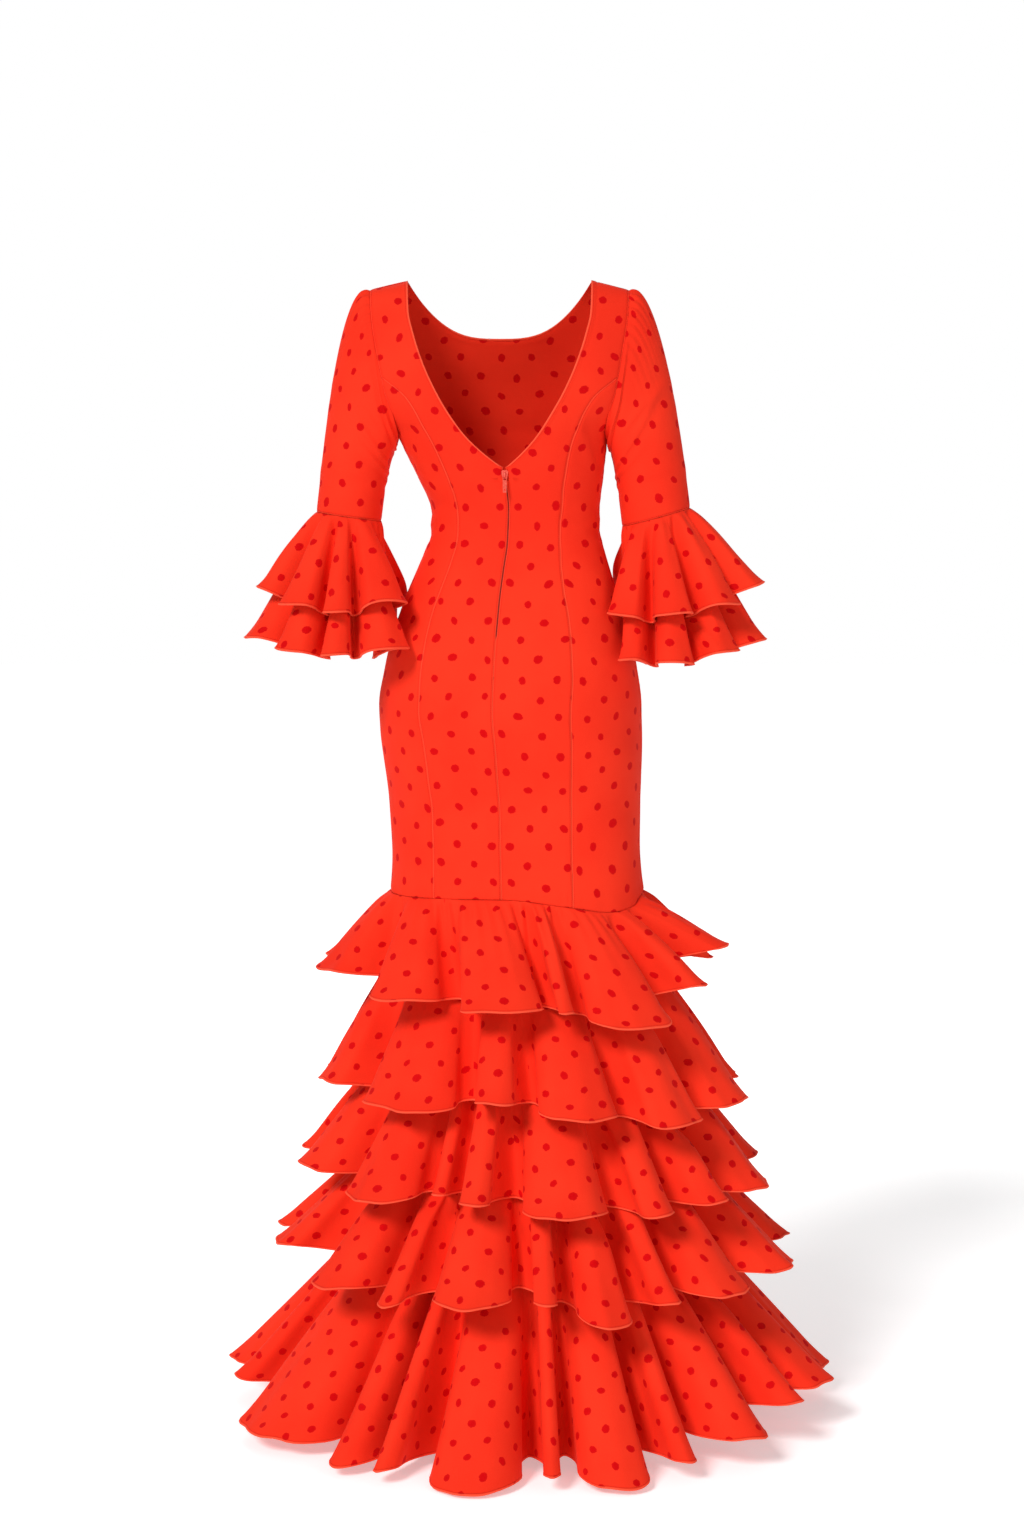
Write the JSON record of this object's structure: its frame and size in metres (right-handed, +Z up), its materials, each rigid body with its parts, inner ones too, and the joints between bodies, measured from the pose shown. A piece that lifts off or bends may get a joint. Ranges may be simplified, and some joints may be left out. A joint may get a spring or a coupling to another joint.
{
  "type": "flamenco dress",
  "caption": "Long fitted flamenco dress with a deep V back, zip, elbow sleeves with doubled flounces and tiered flounces from knee to hem.",
  "frame": {"origin": "midway between the tops of the two shoulder seams, where the wearer's shoulders hold the dress up", "axes": "+Z up, the front faces -Y, the back with its V neck faces +Y, and the wearer's left is +X"},
  "size_m": [0.7941, 0.7565, 1.4786],
  "materials": {
    "dotted_cloth": "matt crepe with darker dots",
    "zip_tape": "woven tape",
    "painted_metal": "satin"
  },
  "bodies": {
    "dress": {"back_centre_left": "dotted_cloth", "back_centre_right": "dotted_cloth", "back_side_left": "dotted_cloth", "back_side_right": "dotted_cloth", "front_centre": "dotted_cloth", "front_side_left": "dotted_cloth", "front_side_right": "dotted_cloth", "sleeve_left": "dotted_cloth", "sleeve_right": "dotted_cloth", "sleeve_flounce_upper_left": "dotted_cloth", "sleeve_flounce_upper_right": "dotted_cloth", "sleeve_flounce_lower_left": "dotted_cloth", "sleeve_flounce_lower_right": "dotted_cloth", "skirt_flounce_1": "dotted_cloth", "skirt_flounce_2": "dotted_cloth", "skirt_flounce_3": "dotted_cloth", "skirt_flounce_4": "dotted_cloth", "skirt_flounce_5": "dotted_cloth", "underskirt": "dotted_cloth", "zip_tape_left": "zip_tape", "zip_tape_right": "zip_tape", "zip_slider": "painted_metal"},
    "pull": {"zip_pull": "painted_metal"}
  },
  "joints": [
    {"name": "zip_pull_swing", "type": "hinge", "parent": "dress", "child": "pull", "pos_m": [-0.00672, 0.08814, -0.24773], "axis": [0.9974, -0.0715, 0], "range_deg": [-12, 150]}
  ]
}
